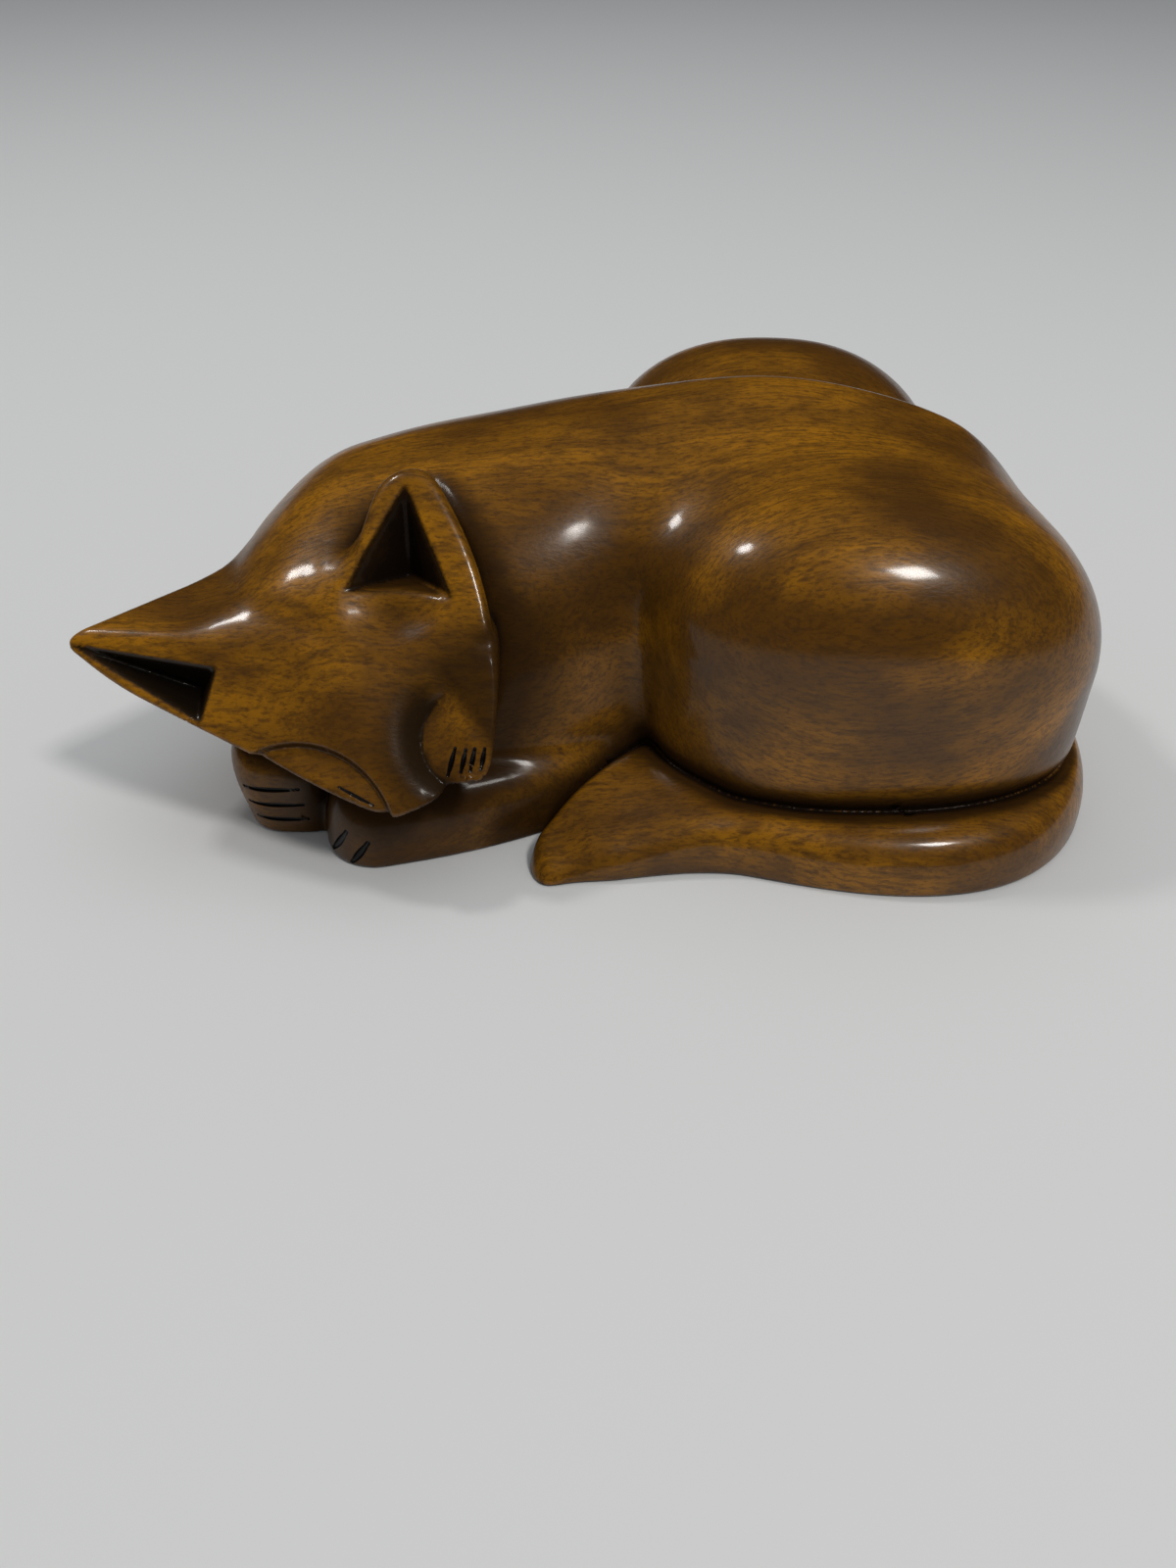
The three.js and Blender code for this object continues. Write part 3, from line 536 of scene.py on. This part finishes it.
# Then edges are split where the surface bends or a knife cut is near, but not on the flat underside:
# longest edges, distances from a knife cut's wall, bends in degrees and height of the underside
FINE = 0.7
FINEST = 0.22
NEAR_KNIFE = 0.6
AT_KNIFE = 0.45
SHARP_DEGREES = 12
FLAT_DEGREES = 5
UNDERSIDE = 0.3
SPLIT_ROUNDS = 4
MOST_TRIANGLES = 190000


def lattice(field, low, high, pitch):
    """The field on a grid, worked out finely only near the surface."""
    low = np.asarray(low, float)
    coarse = COARSE * pitch
    count = np.ceil((np.asarray(high) - low) / coarse).astype(int)
    axes = [low[k] + coarse * (np.arange(count[k]) + 0.5) for k in range(3)]
    values = field(*np.meshgrid(*axes, indexing="ij"))
    for axis in range(3):
        values = np.repeat(values, COARSE, axis)
    index = np.nonzero(np.abs(values) < coarse * 1.5)
    place = [low[k] + pitch * (index[k] + 0.5) for k in range(3)]
    for part in np.array_split(np.arange(len(index[0])), 8):
        values[index[0][part], index[1][part], index[2][part]] = field(*[c[part] for c in place])
    return values, low + pitch * 0.5


def surface_net(values, low, pitch):
    """Closed mesh of the zero surface: a vertex in each crossed cell, a square round each crossed edge."""
    inside = values < 0
    shape = np.array(values.shape) - 1
    total = np.zeros(tuple(shape) + (3,))
    crossed = np.zeros(tuple(shape))
    corner = [(i, j, k) for i in (0, 1) for j in (0, 1) for k in (0, 1)]
    for a in corner:
        for axis in range(3):
            if a[axis]:
                continue
            b = list(a)
            b[axis] = 1
            sa = tuple(slice(a[k], a[k] + shape[k]) for k in range(3))
            sb = tuple(slice(b[k], b[k] + shape[k]) for k in range(3))
            va, vb = values[sa], values[sb]
            hit = inside[sa] != inside[sb]
            share = np.where(hit, va / np.where(hit, va - vb, 1), 0)
            for k in range(3):
                total[..., k] += np.where(hit, a[k] + (share if k == axis else 0), 0)
            crossed += hit
    used = crossed > 0
    number = np.full(tuple(shape), -1)
    number[used] = np.arange(used.sum())
    cells = np.stack(np.nonzero(used), -1)
    points = low + pitch * (cells + total[used] / crossed[used][:, None])
    squares = []
    for axis in range(3):
        u, v = (axis + 1) % 3, (axis + 2) % 3
        here = [slice(1, -1)] * 3
        here[axis] = slice(0, -1)
        there = list(here)
        there[axis] = slice(1, None)
        a, b = inside[tuple(here)], inside[tuple(there)]
        at = np.stack(np.nonzero(a != b), -1) + 1
        at[:, axis] -= 1
        out = a[a != b]
        ring = []
        for du, dv in ((1, 1), (0, 1), (0, 0), (1, 0)):
            cell = at.copy()
            cell[:, u] -= du
            cell[:, v] -= dv
            ring.append(number[tuple(cell.T)])
        ring = np.stack(ring, -1)
        ring[~out] = ring[~out][:, ::-1]
        squares.append(ring)
    return points, np.concatenate(squares)


def settle(field, points, rounds, reach=0.8, step=0.06):
    """Moves points onto the surface along the field's slope, by no more than reach in a round."""
    for _ in range(rounds):
        value = field(*points.T)
        slope = np.stack([field(*(points + ahead).T) - value for ahead in step * np.eye(3)], -1) / step
        size = (slope**2).sum(1) + 1e-6
        move = value / np.maximum(size, 0.15)
        shift = slope * move[:, None]
        length = np.linalg.norm(shift, axis=1, keepdims=True) + TINY
        points = points - shift * np.minimum(1, reach / length)
    return points


def too_long(p, q, normal_p, normal_q):
    """Marks edges from p to q that are long for a bend of the surface or for a knife cut beside them."""
    length = np.linalg.norm(p - q, axis=1)
    bend = np.degrees(np.arccos(np.clip((normal_p * normal_q).sum(1), -1, 1)))
    middle = (p + q) / 2
    knife = np.abs(knife_distance(*middle.T))
    underside = (middle[:, 2] < UNDERSIDE) & (bend < FLAT_DEGREES)
    longest = np.where(knife < NEAR_KNIFE, FINEST, FINE)
    return (length > longest) & ((bend > SHARP_DEGREES) | (knife < AT_KNIFE)) & ~underside


def refine(points, faces, normals):
    """Halves every edge that is too long, and splits the triangles on both sides of it with it."""
    edges = np.sort(np.concatenate([faces[:, [0, 1]], faces[:, [1, 2]], faces[:, [2, 0]]]), axis=1)
    keys, back = np.unique(edges[:, 0] * len(points) + edges[:, 1], return_inverse=True)
    first, second = keys // len(points), keys % len(points)
    split = too_long(points[first], points[second], normals[first], normals[second])
    middle = np.full(len(keys), -1)
    middle[split] = len(points) + np.arange(split.sum())
    points = np.concatenate([points, (points[first[split]] + points[second[split]]) / 2])
    m = middle[back].reshape(3, -1).T
    kinds = (m >= 0).sum(1)
    result = [faces[kinds == 0]]
    for turn in range(3):
        a, b, c = (np.roll(faces, -turn, 1)).T
        ab, bc, ca = (np.roll(m, -turn, 1)).T
        one = (kinds == 1) & (ab >= 0)
        result += [np.stack(t, -1)[one] for t in ((a, ab, c), (ab, b, c))]
        two = (kinds == 2) & (ab >= 0) & (bc >= 0)
        result += [np.stack(t, -1)[two] for t in ((ab, b, bc), (a, ab, bc), (a, bc, c))]
    a, b, c = faces.T
    ab, bc, ca = m.T
    three = kinds == 3
    result += [np.stack(t, -1)[three] for t in ((a, ab, ca), (ab, b, bc), (ca, bc, c), (ab, bc, ca))]
    return points, np.concatenate(result)


def build_mesh():
    values, corner = lattice(carved, BOX_LOW, BOX_HIGH, PITCH)
    points, squares = surface_net(values, corner, PITCH)
    points = settle(carved, points, 3)
    a, b, c, d = (points[squares[:, k]] for k in range(4))
    other = np.linalg.norm(a - c, axis=1) > np.linalg.norm(b - d, axis=1)
    one = np.where(other[:, None], squares[:, [0, 1, 3]], squares[:, [0, 1, 2]])
    two = np.where(other[:, None], squares[:, [1, 2, 3]], squares[:, [0, 2, 3]])
    faces = np.concatenate([one, two])
    normals = unit(gradient(carved, points))
    for _ in range(SPLIT_ROUNDS):
        before = len(points)
        points, faces = refine(points, faces, normals)
        if len(points) == before or len(faces) > MOST_TRIANGLES:
            break
        points[before:] = settle(carved, points[before:], 2, 0.4)
        normals = np.concatenate([normals, unit(gradient(carved, points[before:]))])
    return points, faces, normals


# Stain that pools where the wood is hollow, and painted shade there: the less open space above the
# surface, the darker. Heights over the surface at which that is measured, with their weights, and a larger
# one for pockets, where the darkening is painted shade only
HOLLOW_HEIGHTS = ((0.9, 0.4), (2.0, 0.35), (4.5, 0.25))
POCKET_HEIGHT = 8
POCKET_GAIN = 1.3
# Reach from a knife cut's wall within which the cut is darkened, by stain and painted shade
KNIFE_STAIN_AND_SHADE = 0.13


def stains_and_shade(points, normals):
    """Where each stain and each painted shade lies, as a value from 0 to 1 for every point."""
    x, y, z = points.T
    s, t, w = face_coordinates(x, y, z)
    hollow = np.zeros(len(points))
    for reach, weight in HOLLOW_HEIGHTS:
        seen = cat(*(points + normals * reach).T) / reach
        hollow += weight * np.clip(1 - seen, 0, 1)
    open_space = cat(*(points + normals * POCKET_HEIGHT).T)
    pocket = np.clip(POCKET_GAIN - POCKET_GAIN * open_space / POCKET_HEIGHT, 0, 1)
    # Painted shade lies in the pockets, under the head, round the paws and beside the right cheek; the
    # last three fade out between places along X, along Z and in the directions of the face
    under_head = ramp(26, 4, head(x, y, z)) * ramp(-0.6, -2.5, w) * ramp(50, 36, z) * (y < 0)
    under_head = under_head * ramp(-46, -34, x) * ramp(26, 8, x) * (0.55 + 0.45 * ramp(9, 20, z))
    paws = ramp(20, 6, z) * ramp(14, 0, x) * ramp(-1, -4, w) * (y < 0)
    far_cheek = ramp(11.5, 16, s) * ramp(24, 12, t) * ramp(-6, -2, w) * (x < -5)
    shade = (1 - 0.9 * pocket) * (1 - 0.75 * under_head) * (1 - 0.2 * paws) * (1 - 0.8 * far_cheek)
    # Painted shade inside both ear hollows, darker in the right one on walls turned away from the face's
    # up, and in the valley beside the right eye
    left_ear = ramp(0.55, 0.22, ear_hollow(x, y, z, *LEFT_EAR)) * (s < -8) * (w > -8)
    right_ear = ramp(0.55, 0.22, ear_hollow(x, y, z, *RIGHT_EAR)) * (s > 5) * (w > -10)
    q = inside_eye(s, t, RIGHT_EYE)
    eye = np.clip(1.4 + q / 6, 0, 1) * (q < 0.3) * ramp(-6, -1, t) * (1 - ramp(9, 17, s))
    return {
        "hollow": hollow,
        "shade": 1 - shade,
        "cut": np.clip(1 - knife_distance(x, y, z) / KNIFE_STAIN_AND_SHADE, 0, 1),
        "left_ear": left_ear,
        "right_ear": right_ear * ramp(0.5, 0.2, normals @ UP),
        "eye": eye * (np.abs(w) < 5),
    }


points, faces, normals = build_mesh()
box_middle = (points.min(0) + points.max(0)) / 2
offset = np.array([box_middle[0], box_middle[1], 0.0])

mesh = bpy.data.meshes.new("carved_cat")
mesh.from_pydata((points - offset) * MM, [], faces.tolist())
mesh.update()
mesh.polygons.foreach_set("use_smooth", np.ones(len(faces), bool))
for name, value in stains_and_shade(points, normals).items():
    attribute = mesh.attributes.new(name, "FLOAT", "POINT")
    attribute.data.foreach_set("value", value.astype(np.float32))
figure = bpy.data.objects.new("carved_cat", mesh)
bpy.context.collection.objects.link(figure)


class Nodes:
    """A short way to write a material's nodes."""

    def __init__(self, name):
        self.material = bpy.data.materials.new(name)
        self.material.use_nodes = True
        self.tree = self.material.node_tree
        self.shader = self.tree.nodes["Principled BSDF"]

    def add(self, kind, inputs=None, **settings):
        node = self.tree.nodes.new(kind)
        for key, value in settings.items():
            setattr(node, key, value)
        for key, value in (inputs or {}).items():
            self.put(node.inputs[key], value)
        return node

    def put(self, socket, value):
        if isinstance(value, bpy.types.NodeSocket):
            self.tree.links.new(value, socket)
        else:
            socket.default_value = value

    def math(self, operation, a, b=None, c=None):
        node = self.add("ShaderNodeMath", operation=operation)
        for socket, value in zip(node.inputs, (a, b, c)):
            if value is not None:
                self.put(socket, value)
        return node.outputs[0]

    def vector(self, operation, inputs):
        return self.add("ShaderNodeVectorMath", inputs, operation=operation).outputs[0]

    def mix(self, factor, a, b):
        node = self.add("ShaderNodeMix", data_type="RGBA")
        self.put(node.inputs[0], factor)
        self.put(node.inputs[6], a)
        self.put(node.inputs[7], b)
        return node.outputs[2]

    def between(self, value, low, high, a=0.0, b=1.0):
        """A smooth step from a at low to b at high."""
        inputs = {"Value": value, "From Min": low, "From Max": high, "To Min": a, "To Max": b}
        return self.add("ShaderNodeMapRange", inputs, interpolation_type="SMOOTHSTEP").outputs[0]

    def noise(self, vector, scale=1.0, detail=3.0, roughness=0.5):
        inputs = {"Vector": vector, "Scale": scale, "Detail": detail, "Roughness": roughness}
        return self.add("ShaderNodeTexNoise", inputs)

    def grey(self, vector, scale=1.0, detail=3.0, roughness=0.5):
        return self.noise(vector, scale, detail, roughness).outputs["Fac"]

    def mapped(self, vector, scale=(1, 1, 1), location=(0, 0, 0), rotation=(0, 0, 0)):
        inputs = {"Vector": vector, "Location": location, "Rotation": rotation, "Scale": scale}
        return self.add("ShaderNodeMapping", inputs).outputs[0]

    def attribute(self, name):
        return self.add("ShaderNodeAttribute", attribute_name=name).outputs["Fac"]


# The growth layers, tilted about the log's length, which is X: degrees, and metres from one to the next
GRAIN_TILT = 60.0
RING_WIDTH = 0.0125
RING_START = 0.81
RING_STRENGTH = 0.42
WARP = 0.007
PALE_WOOD = (0.320, 0.130, 0.0022, 1)
BROWN_WOOD = (0.115, 0.045, 0.0026, 1)
LATE_WOOD = (0.100, 0.040, 0.0030, 1)


def wood_material():
    n = Nodes("lacquered_wood")
    place = n.add("ShaderNodeTexCoord").outputs["Object"]
    # The layers are steep and face the near side, so that they show as ovals on the near thigh and as
    # long lines on the back
    warp = n.noise(n.mapped(place, (14, 28, 28)), detail=2.0).outputs["Color"]
    shift = n.vector("SUBTRACT", {0: warp, 1: (0.5, 0.5, 0.5)})
    shift = n.vector("SCALE", {0: shift, "Scale": WARP})
    bent = n.vector("ADD", {0: place, 1: shift})
    log = n.mapped(bent, rotation=(np.radians(-GRAIN_TILT), 0, 0))
    layer = n.add("ShaderNodeSeparateXYZ", {0: log}).outputs[2]
    wave = n.math("FRACT", n.math("MULTIPLY_ADD", layer, 1 / RING_WIDTH, RING_START))
    ring = n.math("MULTIPLY", n.between(wave, 0.0, 0.75), n.between(wave, 0.86, 1.0, 1.0, 0.0))
    # Short dark pores, longer fibres and broad streaks, all drawn out along the grain
    pore = n.grey(n.mapped(log, (620, 1700, 3000)), detail=2.0, roughness=0.6)
    fibre = n.grey(n.mapped(log, (130, 600, 2200)), roughness=0.62)
    streak = n.grey(n.mapped(log, (26, 90, 430)), roughness=0.55)
    # Patches, mottling, specks and blotches, which don't follow the grain as closely
    patch = n.grey(n.mapped(place, (20, 36, 36), (0.35, 0.2, 0.1)), roughness=0.6)
    mottle = n.grey(n.mapped(bent, (190, 380, 420)), roughness=0.6)
    speck = n.grey(place, 1500.0, 2.0, 0.6)
    blotch = n.grey(n.mapped(place, (26, 30, 30), (3.1, 1.7, 0.4)))
    colour = n.mix(n.between(patch, 0.40, 0.60), BROWN_WOOD, PALE_WOOD)
    colour = n.mix(n.math("MULTIPLY", ring, RING_STRENGTH), colour, LATE_WOOD)
    # Each mark by where it starts and is full, how strongly it shows, and its colour
    for mark, low, high, strength, dark in (
        (mottle, 0.46, 0.70, 0.42, (0.070, 0.029, 0.0035, 1)),
        (streak, 0.48, 0.72, 0.42, (0.075, 0.030, 0.0035, 1)),
        (fibre, 0.46, 0.66, 0.50, (0.055, 0.023, 0.0035, 1)),
        (pore, 0.48, 0.66, 0.48, (0.045, 0.018, 0.0035, 1)),
        (speck, 0.50, 0.75, 0.25, (0.045, 0.020, 0.0050, 1)),
        (blotch, 0.52, 0.68, 0.50, (0.050, 0.021, 0.0040, 1)),
    ):
        colour = n.mix(n.math("MULTIPLY", n.between(mark, low, high), strength), colour, dark)
    # Painted shade darkens the wood under the head, between the legs, beside the right cheek, in the ear
    # hollows and in the right eye's valley; the hollows and every cut are darkened by stain and painted
    # shade together
    shade = n.between(n.attribute("shade"), 0.0, 0.9)
    hollow = n.between(n.attribute("hollow"), 0.30, 0.85)
    eye = n.attribute("eye")
    right_ear = n.attribute("right_ear")
    for stain, strength, dark in (
        (shade, 0.90, (0.024, 0.011, 0.0035, 1)),
        (hollow, 0.92, (0.007, 0.004, 0.0025, 1)),
        (eye, 0.92, (0.014, 0.008, 0.0035, 1)),
        (n.attribute("cut"), 1.0, (0.003, 0.002, 0.0020, 1)),
        (n.attribute("left_ear"), 0.95, (0.004, 0.003, 0.0020, 1)),
        (right_ear, 0.93, (0.005, 0.003, 0.0020, 1)),
    ):
        colour = n.mix(n.math("MULTIPLY", stain, strength), colour, dark)
    n.put(n.shader.inputs["Base Color"], colour)
    rough = n.math("MULTIPLY_ADD", fibre, 0.20, 0.22)
    rough = n.math("ADD", rough, n.math("MULTIPLY", n.grey(place, 160.0), 0.08))
    n.put(n.shader.inputs["Roughness"], rough)
    # The lacquer's reflections are dimmed, as painted shade, wherever the shade, the hollows, the right
    # ear and the right eye's valley darken the colour
    dimmed_gloss = n.math("MAXIMUM", n.math("MAXIMUM", shade, hollow), right_ear)
    dimmed_gloss = n.math("MAXIMUM", dimmed_gloss, eye)
    n.put(n.shader.inputs["Specular IOR Level"], n.math("MULTIPLY_ADD", dimmed_gloss, -0.15, 0.20))
    n.put(n.shader.inputs["Coat Weight"], n.math("MULTIPLY_ADD", dimmed_gloss, -0.34, 0.42))
    n.shader.inputs["IOR"].default_value = 1.45
    n.shader.inputs["Coat Roughness"].default_value = 0.12
    height = n.math("ADD", n.math("MULTIPLY", pore, -0.6), n.math("MULTIPLY", speck, -0.3))
    height = n.math("ADD", height, n.math("MULTIPLY", fibre, -0.5))
    bump = n.add("ShaderNodeBump", {"Strength": 0.35, "Distance": 0.00015, "Height": height})
    n.put(n.shader.inputs["Normal"], bump.outputs[0])
    return n.material


mesh.materials.append(wood_material())

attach(figure, "root")
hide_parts("cat")

# A pale floor, metres from its middle to each side
FLOOR = 4.0
floor_mesh = bpy.data.meshes.new("floor")
corners = [(-FLOOR, -FLOOR, 0), (FLOOR, -FLOOR, 0), (FLOOR, FLOOR, 0), (-FLOOR, FLOOR, 0)]
floor_mesh.from_pydata(corners, [], [(0, 1, 2, 3)])
floor = bpy.data.objects.new("floor", floor_mesh)
bpy.context.collection.objects.link(floor)
cloth = Nodes("pale_floor")
cloth.shader.inputs["Base Color"].default_value = (0.66, 0.67, 0.67, 1)
cloth.shader.inputs["Roughness"].default_value = 0.9
cloth.shader.inputs["Specular IOR Level"].default_value = 0.1
floor_mesh.materials.append(cloth.material)


def area_light(name, place, target, size, power, colour):
    """A square light that looks from its place to the target, in metres and watts."""
    data = bpy.data.lights.new(name, "AREA")
    data.shape = "RECTANGLE"
    data.size = size
    data.size_y = size
    data.energy = power
    data.color = colour
    light = bpy.data.objects.new(name, data)
    bpy.context.collection.objects.link(light)
    light.location = place
    light.rotation_euler = (Vector(target) - Vector(place)).to_track_quat("-Z", "Y").to_euler()
    return light


LAMP_AWAY = 1.1
LAMP_TARGET = (0, 0, 0.03)


def lamp(name, azimuth, elevation, size, power, colour):
    """A lamp aimed at the cat from that side, azimuth from +X towards +Y."""
    turn, rise = np.radians((azimuth, elevation))
    place = LAMP_AWAY * np.array([np.cos(rise) * np.cos(turn), np.cos(rise) * np.sin(turn), np.sin(rise)])
    area_light(name, place.tolist(), LAMP_TARGET, size, power, colour)


lamp("lamp_near", -48, 58, 0.15, 4.2, (1.0, 0.97, 0.93))
lamp("lamp_far", 160, 56, 0.12, 2.3, (1.0, 0.98, 0.96))
ceiling = area_light("ceiling", (0.15, 0.25, 1.3), (0, 0, 0), 1.5, 4.0, (0.97, 0.98, 1.0))
ceiling.visible_glossy = False

# The room is pale for the eye and for soft light, but dark in the lacquer, which mirrors only the floor
# and the two lamps
ROOM_LIGHT = 0.29
ROOM_MIRRORED = 0.01
world = bpy.data.worlds.new("studio")
world.use_nodes = True
tree = world.node_tree
background = tree.nodes["Background"]
background.inputs["Color"].default_value = (0.95, 0.97, 1.0, 1)
kind = tree.nodes.new("ShaderNodeLightPath")
level = tree.nodes.new("ShaderNodeMapRange")
level.inputs["To Min"].default_value = ROOM_LIGHT
level.inputs["To Max"].default_value = ROOM_MIRRORED
tree.links.new(kind.outputs["Is Glossy Ray"], level.inputs["Value"])
tree.links.new(level.outputs[0], background.inputs["Strength"])
bpy.context.scene.world = world
bpy.context.scene.view_settings.view_transform = "Standard"

# The camera of the photograph: its height and its way back from the drawing's origin in millimetres,
# and its turns
CAMERA_HEIGHT = 145.0
CAMERA_BACK = 210.0
PITCH_DOWN = np.radians(39.35)
ROLL = np.radians(-0.88)
camera_data = bpy.data.cameras.new("camera")
camera_data.sensor_width = 36.0
camera_data.sensor_fit = "AUTO"
camera_data.lens = 27.0
camera_data.clip_start = 0.005
camera = bpy.data.objects.new("camera", camera_data)
bpy.context.collection.objects.link(camera)
turn = Matrix.Rotation(np.pi / 2 - PITCH_DOWN, 4, "X") @ Matrix.Rotation(-ROLL, 4, "Z")
spot = (np.array([0, -CAMERA_BACK, CAMERA_HEIGHT]) - offset) * MM
camera.matrix_world = Matrix.Translation(spot.tolist()) @ turn
bpy.context.scene.camera = camera
